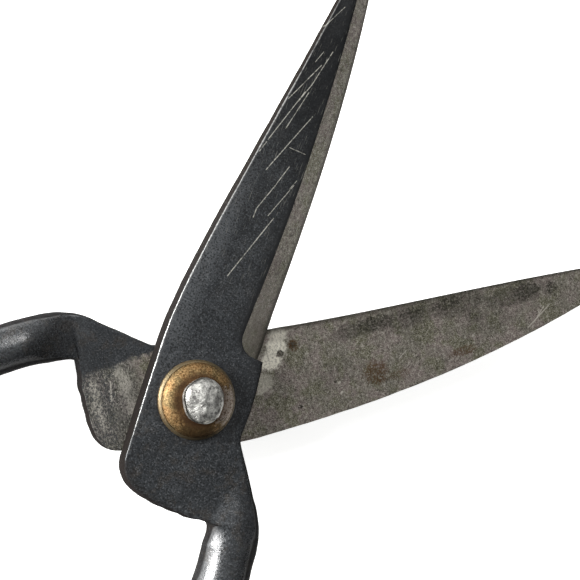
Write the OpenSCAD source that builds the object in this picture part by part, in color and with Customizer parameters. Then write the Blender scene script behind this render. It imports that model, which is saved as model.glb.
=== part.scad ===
// Hand-forged fabric shears: two crossed halves on a riveted pivot between two cupped washers.
// Each half is drawn closed, with the pivot on the Z axis, its tip on +Y and its inner face at z = 0,
// and is then swung open and stacked on the rivet. The back half is the front one turned about Y.

/* [Blades] */
// Distance from the pivot to the blade tips
blade_l = 103; // [96:1:112]
// Angle between the two blades
open_angle = 52; // [20:1:90]
// Thickness of a half at the pivot
half_t = 4.3; // [3.8:0.1:5]
// Thickness of a blade at its tip
tip_t = 1.8; // [1.6:0.1:3]
// Thickness of the cutting edge itself
edge_t = 0.3; // [0.2:0.1:0.6]
// Gap between the inner faces of the two halves
ride_gap = 0.16; // [0.1:0.02:0.3]

/* [Cutting edges] */
// Slope of the ground bevel against the inner face
bevel_angle = 37; // [32:1:44]
// Radius of the rounded corner where the bevel stops at its heel
bevel_corner_r = 3.3; // [2:0.1:4]

/* [Bows] */
// Largest radius of the front half's rod, at the shank
front_rod_r = 5.3; // [4.6:0.1:5.6]
// Largest radius of the back half's rod, at the shank
back_rod_r = 4.6; // [4:0.1:5.4]
// Sides of the rod's section
rod_sides = 16; // [12:2:20]

/* [Rivet and washers] */
// Radius of the rivet's shank
rivet_r = 3; // [2.5:0.1:3.4]
// Largest radius of the rivet's hammered heads
head_r = 4.25; // [3.8:0.05:4.6]
// Height of each head outside its washer
head_h = 2.2; // [1.8:0.1:2.6]
// Radius of the flat that the hammer leaves on the end of each head
head_flat_r = 2.4; // [2:0.1:2.8]
// Radius of the washers
washer_r = 7.4; // [7:0.1:8.5]
// Height of a washer's crown above the face that it sits on
washer_h = 2.8; // [2:0.1:3.2]
// Thickness of the brass
washer_t = 1.1; // [0.8:0.1:1.4]
// Radial clearance of the rivet in the half that turns on it
turn_clear = 0.05; // [0.03:0.01:0.08]

/* [Hidden] */
$fn = 48;

// Clearance between pieces that are clenched together and don't turn
seat_clear = 0.02;
// How far cutting tools run past what they cut
past = 1;

// Heights in the stack, from the flat end of the back rivet head upwards
back_outer_z = head_h + washer_h;
back_inner_z = back_outer_z + half_t;
front_inner_z = back_inner_z + ride_gap;
front_outer_z = front_inner_z + half_t;
top_z = front_outer_z + seat_clear + washer_h + head_h;

// Where the outer faces start to thin towards the tips
taper_y = 12;
tip = [0, blade_l];
// Where the cutting edges start, beside the pivot
heel = [10.8, 11.2];

// Bezier control points of each blade's spine and cutting edge, between shoulder, heel and tip
front_spine = [[-10.1, taper_y], [-9.8, 30], [-4.5, 64], tip];
back_spine = [[-11, taper_y], [-11.6, 45], [-9, 73], tip];
front_edge = [[9.3, 20], [8.4, 42], [7.2, 70], tip];
back_edge = [[8.3, 20], [5.6, 40], [4.5, 72], tip];
edge_steps = 14;

// Where the side of each shoulder lobe turns into its rounded bottom corner
front_lobe = [-8.3, -13.5];
back_lobe = [-5.9, -12.6];
// How far the lobes reach below that point
lobe_drop = 6.9;
// Outer side of the shank, from the waist beside the pivot out to the rod
shank_side = [[11.3, -3.6], [15, -8.3], [20.4, -14], [20.8, -20]];
// End of the shank's flat, inside the rod
shank_end = [[19.5, -23.5], [16.5, -23.5], [13.4, -19.6]];

// Rod of the bow: a start point and heading, then bends of [turn, radius], outward turns positive
rod_start = [14.35, -11.3];
rod_heading = -64;
bow_bends = [[-26, 45], [31, 64], [-41, 60], [-141, 12], [-42, 74], [-34, 25]];
bend_steps = [11, 7, 8, 18, 8, 7];
rod_len = bend_len(bow_bends);
// Rod radius along its length, as a part of its largest radius
rod_taper = [[0, 0.15], [1.5, 0.45], [4, 0.75], [7, 0.93], [10, 1], [20, 1], [42, 0.86], [90, 0.74],
             [rod_len - 20, 0.66], [rod_len - 3, 0.58], [rod_len - 1, 0.42], [rod_len, 0.2]];

function bezier(p, steps) = [
    for (i = [0:steps])
        let (t = i / steps, s = 1 - t)
        s * s * s * p[0] + 3 * s * s * t * p[1] + 3 * s * t * t * p[2] + t * t * t * p[3]
];
function reversed(list) = [for (i = [len(list) - 1:-1:0]) list[i]];

// Distance along the first n bends
function bend_len(bends, n = 99) =
    n <= 0 || len(bends) == 0 ? 0 :
    abs(bends[0][0]) * PI / 180 * bends[0][1] + bend_len([for (i = [1:1:len(bends) - 1]) bends[i]], n - 1);

// Point and heading reached after part of a bend that starts at p
function along_bend(p, heading, turn, r) =
    let (side = sign(turn) * 90, c = p + r * [cos(heading + side), sin(heading + side)])
    c - r * [cos(heading + turn + side), sin(heading + turn + side)];

// Centreline of the rod as [x, y, heading, distance along]
function rod_path(p, heading, i = 0) =
    i == len(bow_bends) ? [] :
    let (bend = bow_bends[i], n = bend_steps[i], first = i == 0 ? 0 : 1)
    concat(
        [for (k = [first:n])
            let (turn = bend[0] * k / n, q = along_bend(p, heading, turn == 0 ? 0.001 : turn, bend[1]))
            [q.x, q.y, heading + turn, bend_len(bow_bends, i) + abs(turn) * PI / 180 * bend[1]]],
        rod_path(along_bend(p, heading, bend[0], bend[1]), heading + bend[0], i + 1));

module rod(r) {
    path = rod_path(rod_start, rod_heading);
    points = [
        for (q = path, k = [0:rod_sides - 1])
            let (a = 360 * k / rod_sides, rr = r * lookup(q[3], rod_taper))
            [q.x - sin(q[2]) * rr * cos(a), q.y + cos(q[2]) * rr * cos(a), rr * sin(a)]
    ];
    last = (len(path) - 1) * rod_sides;
    polyhedron(points, concat(
        [[for (k = [0:rod_sides - 1]) k]],
        [[for (k = [rod_sides - 1:-1:0]) last + k]],
        [for (i = [0:len(path) - 2], k = [0:rod_sides - 1])
            let (a = i * rod_sides, b = a + rod_sides, next = (k + 1) % rod_sides)
            [a + k, b + k, b + next, a + next]]));
}

// Cutting edge from the heel to the tip
function edge_line(edge) = concat([heel], bezier(edge, edge_steps));
// Thickness of a half, which thins in a straight line from the shoulder to the tip
thinning = (half_t - tip_t) / (blade_l - taper_y);
function outer_z(y) = half_t - thinning * max(0, y - taper_y);
// Upper border of the bevel beside point i of the edge, where it meets the outer face
function bevel_border(line, i) =
    let (along = line[min(i + 1, len(line) - 1)] - line[i - 1], inward = [-along.y, along.x] / norm(along))
    line[i] + inward * (outer_z(line[i].y) - edge_t) / tan(bevel_angle);

// Flat outline of blade, shoulder lobe and shank
module half_outline(spine, edge, lobe) {
    low = lobe.y - lobe_drop;
    polygon(concat(
        bezier(spine, 14),
        reversed(edge_line(edge)),
        bezier(shank_side, 8),
        shank_end,
        bezier([[12, low + 0.5], [9, low - 0.3], [lobe.x + 12, low - 0.2], [lobe.x + 6, low + 0.6]], 5),
        bezier([[lobe.x + 6, low + 0.6], [lobe.x + 2, low + 1.8], [lobe.x + 0.4, lobe.y - 3], lobe], 6)));
}

// Area of the ground bevel, from its border out past the cutting edge
module bevel_area(edge) {
    line = edge_line(edge);
    border = [for (i = [1:len(line) - 1]) bevel_border(line, i)];
    corner = [border[0].x + bevel_corner_r, heel.y + bevel_corner_r];
    polygon(concat(
        [for (a = [180:15:270]) corner + bevel_corner_r * [cos(a), sin(a)]],
        [[heel.x + past, heel.y], [heel.x + past, blade_l + past], [border[edge_steps].x, blade_l + past]],
        reversed(border)));
}

// Everything above the outer face
module outer_waste() {
    translate([-50, taper_y, half_t]) rotate([-atan(thinning), 0, 0]) cube([100, 120, 20]);
}

// Everything above the bevel, which leans inwards from each stretch of the cutting edge
module bevel_waste(edge) {
    line = edge_line(edge);
    for (i = [0:len(line) - 2]) {
        along = line[i + 1] - line[i];
        translate([line[i].x, line[i].y, edge_t])
            rotate([0, 0, atan2(along.y, along.x) - 90])
            rotate([0, bevel_angle, 0])
            translate([-20, -past, 0])
            cube([40, norm(along) + 2 * past, 20]);
    }
}

module forging(spine, edge, lobe, rod_r, bore_r) {
    difference() {
        union() {
            linear_extrude(half_t) half_outline(spine, edge, lobe);
            rod(rod_r);
        }
        outer_waste();
        translate([0, 0, -past]) linear_extrude(half_t + 2 * past) bevel_area(edge);
        translate([0, 0, -past]) cylinder(r = bore_r, h = half_t + 2 * past);
    }
}

module edge_steel(spine, edge, lobe) {
    difference() {
        intersection() {
            linear_extrude(half_t) half_outline(spine, edge, lobe);
            translate([0, 0, -past]) linear_extrude(half_t + 2 * past) bevel_area(edge);
        }
        outer_waste();
        bevel_waste(edge);
    }
}

// Puts a closed half where it lies in the open shears
module as_front() { translate([0, 0, front_inner_z]) rotate([0, 0, open_angle / 2]) children(); }
module as_back() { translate([0, 0, back_inner_z]) rotate([0, 0, -open_angle / 2]) rotate([0, 180, 0]) children(); }

// Cupped washer, rim down on z = 0
module washer() {
    rim_h = washer_t;
    crown_r = head_r;
    rotate_extrude()
        polygon(concat(
            [[rivet_r + seat_clear, washer_h], [rivet_r + seat_clear, washer_h - washer_t]],
            dome_arc(crown_r, washer_h - washer_t, washer_r - washer_t, 0),
            [[washer_r - 0.2, 0], [washer_r, 0.3]],
            reversed(dome_arc(crown_r, washer_h, washer_r, rim_h))));
}
// Quarter of a flattened curve that falls from [r0, z0] to [r1, z1]
function dome_arc(r0, z0, r1, z1) = [
    for (i = [0:6]) let (a = 15 * i) [r0 + (r1 - r0) * sin(a), z1 + (z0 - z1) * cos(a)]
];

module rivet_profile() {
    polygon([
        [0, 0], [head_flat_r, 0], [3.5, 0.4], [head_r - 0.2, 1], [head_r, 1.5], [head_r - 0.25, head_h],
        [rivet_r, head_h], [rivet_r, top_z - head_h], [head_r - 0.25, top_z - head_h], [head_r, top_z - 1.5],
        [head_r - 0.2, top_z - 1], [3.5, top_z - 0.4], [head_flat_r, top_z], [0, top_z]
    ]);
}

module front_half() {
    color("#2b3036")
        as_front() forging(front_spine, front_edge, front_lobe, front_rod_r, rivet_r + turn_clear);
}
module back_half() {
    color("#2b3036")
        as_back() forging(back_spine, back_edge, back_lobe, back_rod_r, rivet_r + seat_clear);
}
module front_edge_steel() { color("#8f8b84") as_front() edge_steel(front_spine, front_edge, front_lobe); }
module back_edge_steel() { color("#8f8b84") as_back() edge_steel(back_spine, back_edge, back_lobe); }
module pivot_rivet() { color("#a8a8a6") rotate_extrude() rivet_profile(); }
module front_washer() { color("#a27c3e") translate([0, 0, front_outer_z + seat_clear]) washer(); }
module back_washer() { color("#a27c3e") translate([0, 0, back_outer_z]) rotate([180, 0, 0]) washer(); }

front_half();
back_half();
front_edge_steel();
back_edge_steel();
pivot_rivet();
front_washer();
back_washer();
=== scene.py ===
"""Looks of hand-forged fabric shears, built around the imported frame.

Each half is lofted closed, with its tip on +Y and its inner face at z = 0, through sections that run
down the blade, fan out round the shoulder lobe and follow the rod of the bow. It is then swung open
and stacked where the frame has it. Lengths are in millimetres until a mesh is made.
"""

import functools
import math
from collections import namedtuple

import bmesh
import bpy
import numpy as np
from mathutils import Matrix, Vector, noise


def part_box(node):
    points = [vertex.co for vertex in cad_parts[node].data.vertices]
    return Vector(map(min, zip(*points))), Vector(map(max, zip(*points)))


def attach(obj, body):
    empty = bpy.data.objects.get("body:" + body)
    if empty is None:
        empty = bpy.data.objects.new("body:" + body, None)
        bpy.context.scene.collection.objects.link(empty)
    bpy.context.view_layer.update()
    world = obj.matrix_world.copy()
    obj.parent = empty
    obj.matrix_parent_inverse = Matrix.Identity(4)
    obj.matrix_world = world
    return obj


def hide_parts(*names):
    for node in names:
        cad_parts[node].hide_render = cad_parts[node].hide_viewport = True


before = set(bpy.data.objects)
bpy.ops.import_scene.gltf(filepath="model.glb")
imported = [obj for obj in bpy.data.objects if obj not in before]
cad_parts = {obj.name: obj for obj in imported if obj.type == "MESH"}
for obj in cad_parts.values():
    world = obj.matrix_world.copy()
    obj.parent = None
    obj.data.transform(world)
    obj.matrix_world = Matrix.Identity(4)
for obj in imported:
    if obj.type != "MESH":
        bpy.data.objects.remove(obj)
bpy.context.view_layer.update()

MM = 0.001

# ---- dimensions

# From the pivot to the tip, and how far the halves are swung open
BLADE_L = 103.0
OPEN_ANGLE = 52.0
# Thickness at the shoulder, at the tip and of the cutting edge; it tapers from TAPER_Y on
HALF_T = 4.3
TIP_T = 1.8
EDGE_T = 0.25
TAPER_Y = 12.0
# Angle between the bevel and the inner face, and the heights between which it eases into the tip's
BEVEL_ANGLE = 37.0
TIP_BEVEL_ANGLE = 34.0
BEVEL_EASES = (35, 65)
# The bevel's border rounds into the heel below CORNER_Y
HEEL = (9.6, 11.3)
BEVEL_CORNER_R = 3.3
CORNER_Y = HEEL[1] + BEVEL_CORNER_R
# Near the heel the bevel's border keeps its place at STRAIGHT_Y, which it eases into over STRAIGHTENS
STRAIGHT_Y = 20.0
STRAIGHTENS = (24, 18)
# The outer face falls off by this much towards the spine
CROWN = 0.1
BORE_R = 3.05

# Heights of the stack, from where the frame has the two washers
CLEARANCE = 0.02
BACK_INNER_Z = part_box("back_washer")[1].z / MM + HALF_T
FRONT_OUTER_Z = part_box("front_washer")[0].z / MM
FRONT_INNER_Z = FRONT_OUTER_Z - HALF_T - CLEARANCE
TOP_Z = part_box("pivot_rivet")[1].z / MM

# The rod of the bow: its start, its heading in degrees, and its bends as (turn, radius)
ROD_START = (14.35, -11.3)
ROD_HEADING = -64.0
BOW_BENDS = [(-26, 45), (31, 64), (-41, 60), (-141, 12), (-42, 74), (-34, 25)]
# The free end of the rod rounds off over this length
ROD_END = 2.6
# The lobe turns into the rod's own sections this far along the rod
LEAD = 11.5
# The shank's outer side, which joins the rod's this far along the rod
SHANK_SIDE = [(11.0, -3.6), (12.2, -5.2), (13.8, -7.2), (15.8, -9.8)]
SIDE_JOINS = 2.6

# Both halves: curves of the outline as control points, the rod's radius, and where the hammer
# swayed the rod, as (amount, distance along it, width)
FRONT = {
    "name": "front",
    "body": "upper_blade",
    "spine": [(-10.2, TAPER_Y), (-9.9, 30), (-3.5, 64), (0, BLADE_L)],
    "edge": [(9.1, 20), (8.4, 42), (7.8, 70), (0, BLADE_L)],
    "lobe_corner": [(-8.4, -13.5), (-8.3, -17.0), (-6.4, -19.3), (-2.3, -20.0)],
    "lobe_low": [(-2.3, -20.0), (2.5, -20.9), (8.5, -20.3), (11.2, -20.0)],
    "notch": [(12.0, -19.9), (12.7, -20.3)],
    "rod_r": 5.2,
    "sway": [(-0.7, 6, 5), (-0.2, 14, 12), (0.3, 19, 5)],
    "seed": 3.0,
}
BACK = {
    "name": "back",
    "body": "lower_blade",
    "spine": [(-11.1, TAPER_Y), (-11.9, 45), (-9.2, 73), (0, BLADE_L)],
    "edge": [(8.1, 20), (5.4, 40), (4.4, 72), (0, BLADE_L)],
    "lobe_corner": [(-5.9, -12.6), (-5.9, -16.4), (-4.2, -18.7), (0.0, -19.0)],
    "lobe_low": [(0.0, -19.0), (4.0, -19.2), (8.5, -18.7), (11.6, -18.3)],
    "notch": [(13.1, -18.0), (13.6, -19.0)],
    "rod_r": 4.4,
    "sway": [(-1.35, 33, 12)],
    "seed": 11.0,
}

# Points of a section: up one side, over the outer face, down the other side, back along the inner face
WALL_POINTS = 7
N_SIDE = WALL_POINTS + 7
N_FACE = 36
N_RING = 2 * (N_SIDE + N_FACE)
# Points over the bevel, and again along the edge steel's inner face
N_BEVEL = 16
# Sections of the shoulder, from the heel to where the rod's own begin
N_SHOULDER = 110


# ---- curves

def bezier(p, n):
    p = np.array(p, float)
    t = np.linspace(0, 1, n)[:, None]
    s = 1 - t
    return s**3 * p[0] + 3 * s * s * t * p[1] + 3 * s * t * t * p[2] + t**3 * p[3]


def chain(*parts):
    """Joins point lists, dropping the point that two of them share."""
    parts = [np.array(p, float) for p in parts]
    return np.concatenate([parts[0]] + [q[1:] for q in parts[1:]])


def resample(points, n):
    d = np.concatenate([[0], np.cumsum(np.linalg.norm(np.diff(points, axis=0), axis=1))])
    s = np.linspace(0, d[-1], n)
    return np.stack([np.interp(s, d, points[:, k]) for k in range(2)], 1)


def smoothed(points, rounds):
    """Rounds the corners of a line and keeps its ends."""
    q = points.copy()
    for _ in range(rounds):
        q[1:-1] = (q[:-2] + 2 * q[1:-1] + q[2:]) / 4
    return q


def smoothstep(a, b, x):
    t = np.clip((x - a) / (b - a), 0, 1)
    return t * t * (3 - 2 * t)


def smooth_max(a, b, k):
    h = np.maximum(k - np.abs(a - b), 0) / k
    return np.maximum(a, b) + h * h * k / 4


def rod_path(step):
    """Centre line of the rod: points, headings in radians and distances along it."""
    p = np.array(ROD_START, float)
    heading = math.radians(ROD_HEADING)
    points, headings, along = [p.copy()], [heading], [0.0]
    for turn, radius in BOW_BENDS:
        turn = math.radians(turn)
        side = math.copysign(math.pi / 2, turn)
        centre = p + radius * np.array([math.cos(heading + side), math.sin(heading + side)])
        n = max(2, round(abs(turn) * radius / step))
        for k in range(1, n + 1):
            a = heading + turn * k / n
            points.append(centre - radius * np.array([math.cos(a + side), math.sin(a + side)]))
            headings.append(a)
            along.append(along[-1] + abs(turn) * radius / n)
        p = points[-1]
        heading += turn
    return np.array(points), np.array(headings), np.array(along)


PATH, HEADINGS, ALONG = rod_path(step=1.0)
ROD_LEN = ALONG[-1]
# Rod radius along its length, as a part of the largest radius
TAPER_AT = [0, 1.5, 4, 7, 10, 20, 42, 90, ROD_LEN - 20, ROD_LEN - 3]
TAPER = [0.15, 0.45, 0.75, 0.93, 1, 1, 0.86, 0.74, 0.66, 0.6]
# The rod's side, towards the outside of the bow
OUTWARD = np.stack([-np.sin(HEADINGS), np.cos(HEADINGS)], 1)


def rod_radius(half, s):
    body = half["rod_r"] * np.interp(s, TAPER_AT, TAPER)
    end = np.clip((ROD_LEN - s) / ROD_END, 0, 1)
    return body * np.sqrt(np.maximum(1 - (1 - end) ** 2, 0.0004))


def rod_centres(half):
    """The rod's path, swayed a little where the hammer left it."""
    offset = sum(amount * np.exp(-(((ALONG - at) / width) ** 2)) for amount, at, width in half["sway"])
    return PATH + OUTWARD * offset[:, None]


def rod_sides(half):
    r = rod_radius(half, ALONG)[:, None]
    centres = rod_centres(half)
    return centres - OUTWARD * r, centres + OUTWARD * r


def rod_lead():
    """Index of the point where the rod's own sections begin."""
    return int(np.searchsorted(ALONG, LEAD))


# ---- outline of a half

def thickness(y):
    return HALF_T - (HALF_T - TIP_T) / (BLADE_L - TAPER_Y) * np.maximum(0, y - TAPER_Y)


# The lobe's low side lies below this height
LOW_SIDE_Y = -16


def hammered(x):
    """How far the lobe's low side stands out: one bump, and a ripple that fades towards its ends."""
    bump = np.exp(-(((x - 7.2) / 1.1) ** 2))
    ripple = np.sin(x * 1.9) * smoothstep(-4, 0, x) * smoothstep(10.5, 8, x)
    return 0.2 * bump + 0.07 * ripple


class Outline:
    """Spine side, edge side and bevel border of a blade, and the two sides of its shoulder."""

    def __init__(self, half):
        self.half = half
        self.spine = bezier(half["spine"], 120)
        edge = bezier(half["edge"], 120)
        self.edge = chain([HEEL, (HEEL[0] - 0.05, 14.2), (edge[0, 0] + 0.15, 17.8)], edge)
        self.left, self.right = self.shoulder()

    def spine_x(self, y):
        return np.interp(y, self.spine[:, 1], self.spine[:, 0])

    def edge_x(self, y):
        return np.interp(y, self.edge[:, 1], self.edge[:, 0])

    def line_x(self, y):
        """Where the bevel would meet the outer face if its heel had no rounded corner."""
        y = np.asarray(y, float)
        angle = BEVEL_ANGLE + (TIP_BEVEL_ANGLE - BEVEL_ANGLE) * smoothstep(*BEVEL_EASES, y)
        slope = (self.edge_x(y + 1) - self.edge_x(y - 1)) / 2
        width = (thickness(y) - EDGE_T) / np.tan(np.radians(angle))
        far = self.edge_x(y) - width * np.sqrt(1 + slope**2)
        heel_width = (thickness(STRAIGHT_Y) - EDGE_T) / math.tan(math.radians(BEVEL_ANGLE))
        near = self.edge_x(STRAIGHT_Y) - heel_width - 0.1
        return far + (near - far) * smoothstep(*STRAIGHTENS, y)

    def border_x(self, y):
        """Where the bevel meets the outer face."""
        drop = np.clip((CORNER_Y - y) / BEVEL_CORNER_R, 0, 1)
        return self.line_x(y) + BEVEL_CORNER_R * (1 - np.sqrt(1 - drop**2))

    def shoulder(self):
        """Left and right sides from the heel to where the rod begins, at the same number of points."""
        inner, outer = rod_sides(self.half)
        lead = rod_lead()
        corner, low = self.half["lobe_corner"], self.half["lobe_low"]
        top = (float(self.spine_x(HEEL[1])), HEEL[1])
        left = chain(
            bezier([top, (self.spine[0, 0] + 0.3, 3), (corner[0][0] - 0.6, -6), corner[0]], 40),
            bezier(corner, 30),
            bezier(low, 30),
            bezier([low[3], *self.half["notch"], tuple(inner[lead])], 12),
        )
        left[:, 1] -= hammered(left[:, 0]) * (left[:, 1] < LOW_SIDE_Y)
        start = int(np.searchsorted(ALONG, SIDE_JOINS))
        right = chain(
            bezier([HEEL, (10.6, 7.5), (11.25, 1.5), SHANK_SIDE[0]], 24),
            bezier(SHANK_SIDE, 16),
            np.concatenate([[SHANK_SIDE[3]], outer[start:lead + 1]]),
        )
        left = smoothed(resample(left, 200), 2)
        right = smoothed(resample(right, 200), 30)
        return resample(left, N_SHOULDER), resample(right, N_SHOULDER)


# ---- sections

def side_profile(chamfer, foot, t, bulge):
    """Side wall from the inner face up to the outer face: distances in from the outline, and heights."""
    turn = np.radians([0, 22, 45, 68, 90])
    along = np.linspace(0, 1, WALL_POINTS + 1)[:-1]
    belly = -bulge * np.sin(along * math.pi)
    w = np.concatenate([[foot, 0.3 * foot], belly, chamfer * (1 - np.cos(turn))])
    wall = foot + (t - chamfer - foot) * along
    z = np.concatenate([[0, 0.3 * foot], wall, t - chamfer * (1 - np.sin(turn))])
    return w, z


def plate_section(left, right, t, near, far):
    """Flat section between two outline points; near and far are (chamfer, foot, bulge) of its sides."""
    width = max(np.linalg.norm(right - left), 0.01)
    limit = min(width * 0.3, t * 0.4)
    c1, c3 = min(near[0], limit), min(far[0], limit)
    f1, f3 = min(near[1], limit), min(far[1], limit)
    crown = min(CROWN, t * 0.1)
    w1, z1 = side_profile(c1, f1, t - crown, near[2])
    w3, z3 = side_profile(c3, f3, t, far[2])
    w2 = np.linspace(c1, width - c3, N_FACE + 2)[1:-1]
    z2 = t - crown * (1 - smoothstep(c1, min(4.5, width * 0.8), w2))
    w4 = np.linspace(width - f3, f1, N_FACE + 2)[1:-1]
    w = np.concatenate([w1, w2, (width - w3)[::-1], w4])
    z = np.concatenate([z1, z2, z3[::-1], np.zeros(N_FACE)])
    u = (right - left) / width
    return np.column_stack([left[0] + u[0] * w, left[1] + u[1] * w, z])


# Weights round a section: its worn arris, all but its inner face, and its far wall
ARRIS = np.zeros(N_RING)
ARRIS[N_SIDE - 5:N_SIDE + 1] = (0, 0.4, 1, 0.9, 0.1, 0)
OUTSIDE = np.zeros(N_RING)
OUTSIDE[1:2 * N_SIDE + N_FACE - 1] = 1
FAR_WALL = np.zeros(N_RING)
FAR_WALL[N_SIDE + N_FACE - 2:2 * N_SIDE + N_FACE] = 1


def circle_angles():
    """Angles round a round section for the points of a flat one; its sides take 33 degrees each way."""
    a = math.radians(33)
    side = np.linspace(math.pi + a, math.pi - a, N_SIDE)
    outer = np.linspace(math.pi - a, a, N_FACE + 2)[1:-1]
    edge = np.linspace(a, -a, N_SIDE)
    inner = np.linspace(-a, a - math.pi, N_FACE + 2)[1:-1]
    return np.concatenate([side, outer, edge, inner])


# Sides of the flat sections of the blade and of the rod, as (chamfer, foot, bulge) near and far
BLADE_SIDES = (0.24, 0.1, 0.05), (0.03, 0, 0)
ROD_SIDES = (1.7, 1.0, 0.25), (1.3, 1.0, 0.3)
# Where sections pass from flat to round: 1 is the end of the shoulder
ROUNDING = (0.80, 1.18)
# Distances along the rod between which its inner side fills out
FILLING = (6, 18)
# The rod's root stands a little prouder: distance along the rod, width and share of the radius
ROOT_SWELL = (8.0, 4.5, 0.10)
# Only this much of the rod, and only below this height, can stand out of the shank
ROOT_LEN = 45
SHANK_TOP_Y = -5


# A section: its points, its two sides, how round it is, how worn and how uneven its points are, and
# its distance along the rod
Ring = namedtuple("Ring", "points sides round wear uneven along")


def heights_from(top):
    """Heights from the top down to the heel, closer together where the bevel's border is round."""
    turn = np.radians(np.linspace(0, 90, 13))
    return np.concatenate([np.arange(top, CORNER_Y + 0.2, -0.5), CORNER_Y - BEVEL_CORNER_R * np.sin(turn)])


def blade_heights(outline):
    """Heights at which the blade is sliced, from where it is wide enough beside the bevel."""
    top = BLADE_L
    while outline.border_x(top) - outline.spine_x(top) < 0.35:
        top -= 0.25
    return heights_from(top)


def shoulder_sides(u):
    """Near and far side of the shoulder's flat section, from the blade at 0 to the rod at 1."""
    rolled = smoothstep(0.78, 1.0, u)
    foot = 0.1 + 0.9 * rolled
    chamfer = 0.24 + 0.76 * smoothstep(0.4, 0.85, u) + 0.7 * rolled
    near = (chamfer, foot, 0.05 + 0.2 * smoothstep(0.4, 0.7, u))
    grown = smoothstep(0.3, 0.8, u)
    far = (0.7 + 0.6 * grown, foot, 0.1 + 0.2 * grown)
    return near, far


def forging_rings(half, outline):
    """Sections of a forging from its tip to the free end of its bow, before the rod swells."""
    rings = []
    for y in blade_heights(outline):
        left = np.array([outline.spine_x(y), y])
        right = np.array([float(outline.border_x(y)), y])
        points = plate_section(left, right, thickness(y), *BLADE_SIDES)
        rings.append(Ring(points, (left, right), 0.0, ARRIS, OUTSIDE * (1 - FAR_WALL), 0.0))
    lead = rod_lead()
    for i in range(N_SHOULDER):
        u = i / (N_SHOULDER - 1)
        step = np.array([0, -0.02 * (i == 0)])
        left = outline.left[i] + step
        right = outline.right[i] + step
        points = plate_section(left, right, HALF_T, *shoulder_sides(u))
        wear = ARRIS * (1 - smoothstep(0.36, 0.5, u))
        uneven = OUTSIDE + (1 - OUTSIDE) * smoothstep(0.75, 0.95, u)
        along = ALONG[lead] * np.clip((u - 0.7) / 0.3, 0, 1)
        rings.append(Ring(points, (left, right), smoothstep(*ROUNDING, u), wear, uneven, along))
    sides = np.stack(rod_sides(half), 1)
    for i in range(lead + 1, len(PATH)):
        t = min(HALF_T, float(rod_radius(half, ALONG[i])))
        points = plate_section(*sides[i], t, *ROD_SIDES)
        roundness = smoothstep(*ROUNDING, 1 + 0.06 * (ALONG[i] - ALONG[lead]))
        rings.append(Ring(points, sides[i], roundness, 0 * ARRIS, np.ones(N_RING), ALONG[i]))
    return Ring(*[np.array(column) for column in zip(*rings)])


def rod_height(half, x, y):
    """Height of the rod's round above its middle plane, negative beside the rod."""
    near = ALONG < ROOT_LEN
    centres = rod_centres(half)[near]
    d2 = (x[..., None] - centres[:, 0]) ** 2 + (y[..., None] - centres[:, 1]) ** 2
    at, width, more = ROOT_SWELL
    radius = rod_radius(half, ALONG[near]) * (1 + more * np.exp(-(((ALONG[near] - at) / width) ** 2)))
    q = (radius ** 2 - d2).max(-1)
    return np.sign(q) * np.sqrt(np.abs(q))


def flat_points(half, rings, filled):
    """Points of the flat sections, with the rod growing out of the shank on both faces."""
    x, y, z = np.moveaxis(rings.points, -1, 0)
    height = rod_height(half, x, y)
    top = smooth_max(np.full_like(z, HALF_T), height, 2.4)
    bottom = -smooth_max(np.zeros_like(z), height, 0.3) * filled
    part = np.clip(z / HALF_T, 0, 1)
    lifted = np.where(y < SHANK_TOP_Y, bottom + (top - bottom) * part, z)
    return np.stack([x, y, lifted], -1)


def round_points(rings, filled):
    """Points of round sections between the same sides, with faint flats that wind along the rod."""
    centre = rings.sides.mean(1)
    across = rings.sides[:, 1] - rings.sides[:, 0]
    r = np.linalg.norm(across, axis=1)[:, None] / 2
    u = across / (2 * r)
    angles = circle_angles()
    flats = 1 + 0.012 * np.cos(5 * angles[None] + 0.11 * rings.along[:, None])
    height = r * np.sin(angles) * flats
    return np.stack([
        centre[:, :1] + u[:, :1] * r * np.cos(angles) * flats,
        centre[:, 1:] + u[:, 1:] * r * np.cos(angles) * flats,
        np.where(height < 0, height * filled, height),
    ], -1)


def swollen(half, rings):
    """Points of all sections, passing from the flat ones to the round ones."""
    filled = smoothstep(*FILLING, rings.along)[:, None]
    m = rings.round[:, None, None]
    return flat_points(half, rings, filled) * (1 - m) + round_points(rings, filled) * m


def edge_rings(outline):
    """Sections of the hard edge steel: bevel, cutting edge, inner face and the wall at its border."""
    tip = BLADE_L - 0.12 * np.arange(1, 14) ** 1.6 / 4
    share = np.linspace(0, 1, N_BEVEL)
    rings = []
    for y in np.concatenate([tip, heights_from(tip[-1] - 0.4)]):
        ex, line, t = float(outline.edge_x(y)), float(outline.line_x(y)), float(thickness(y))
        bx = max(float(outline.border_x(y)), float(outline.spine_x(y)))
        bx = min(bx, ex - 0.02)
        slope = (t - EDGE_T) / (ex - line)
        zb = EDGE_T + (ex - bx) * slope
        top = [(bx + (ex - bx) * k, zb + (EDGE_T - zb) * k) for k in share]
        inner = [(bx + (ex - bx) * k, 0.0) for k in share[::-1]]
        wall = [(bx, zb * k) for k in (0.25, 0.5, 0.75)]
        rings.append([(x, y, z) for x, z in top + inner + wall])
    return np.array(rings)


# ---- meshes

def as_front():
    return Matrix.Translation((0, 0, FRONT_INNER_Z)) @ Matrix.Rotation(math.radians(OPEN_ANGLE / 2), 4, "Z")


def as_back():
    swing = Matrix.Rotation(math.radians(-OPEN_ANGLE / 2), 4, "Z")
    return Matrix.Translation((0, 0, BACK_INNER_Z)) @ swing @ Matrix.Rotation(math.pi, 4, "Y")


def new_object(name, data):
    o = bpy.data.objects.new(name, data)
    bpy.context.scene.collection.objects.link(o)
    return o


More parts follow.
